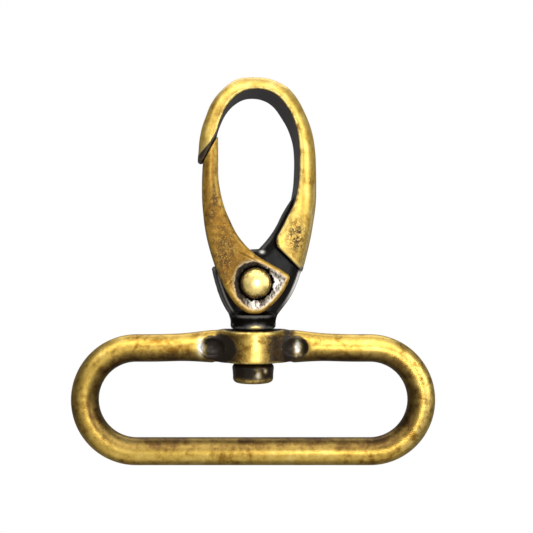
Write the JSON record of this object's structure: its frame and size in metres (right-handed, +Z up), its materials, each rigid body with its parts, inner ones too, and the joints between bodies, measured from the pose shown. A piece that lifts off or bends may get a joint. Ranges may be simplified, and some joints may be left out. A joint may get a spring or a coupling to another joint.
{
  "type": "swivel snap hook",
  "caption": "Antique brass swivel snap hook with an inward-opening spring gate and an oval loop for a wide flat strap.",
  "frame": {"origin": "on the swivel axis, in the middle of the depth, level with the underside of the loop's bottom bar", "axes": "+Z up along the swivel axis from the loop to the hook, +X along the loop's width with the gate's hinge opening towards +X, +Y from the rivet's domed head to the back"},
  "size_m": [0.0448, 0.0077, 0.0475],
  "materials": {
    "loop_brass": "antique brass plate, dark patina in the recesses",
    "pin_brass": "antique brass plate, almost black",
    "hook_brass": "antique brass plate, dark patina on the inner walls",
    "gate_brass": "antique brass plate, worn bright on the edges",
    "rivet_brass": "antique brass plate, polished dome",
    "spring_steel": "drawn spring wire"
  },
  "bodies": {
    "loop": {"strap_loop": "loop_brass"},
    "hook": {"hook_body": "hook_brass", "swivel_pin": "pin_brass", "gate_rivet": "rivet_brass", "gate_spring": "spring_steel"},
    "gate": {"gate": "gate_brass"}
  },
  "joints": [
    {"name": "swivel", "type": "hinge", "parent": "loop", "child": "hook", "pos_m": [0, 0, 0.01675], "axis": [0, 0, 1], "continuous": true},
    {"name": "gate_pivot", "type": "hinge", "parent": "hook", "child": "gate", "pos_m": [0.00015, 0.00001, 0.02245], "axis": [-0.0785, 0.9969, 0], "range_deg": [0, 26], "stiffness_Nm_per_rad": 0.02, "springref_deg": -68.75, "deforming": ["gate_spring"]}
  ]
}
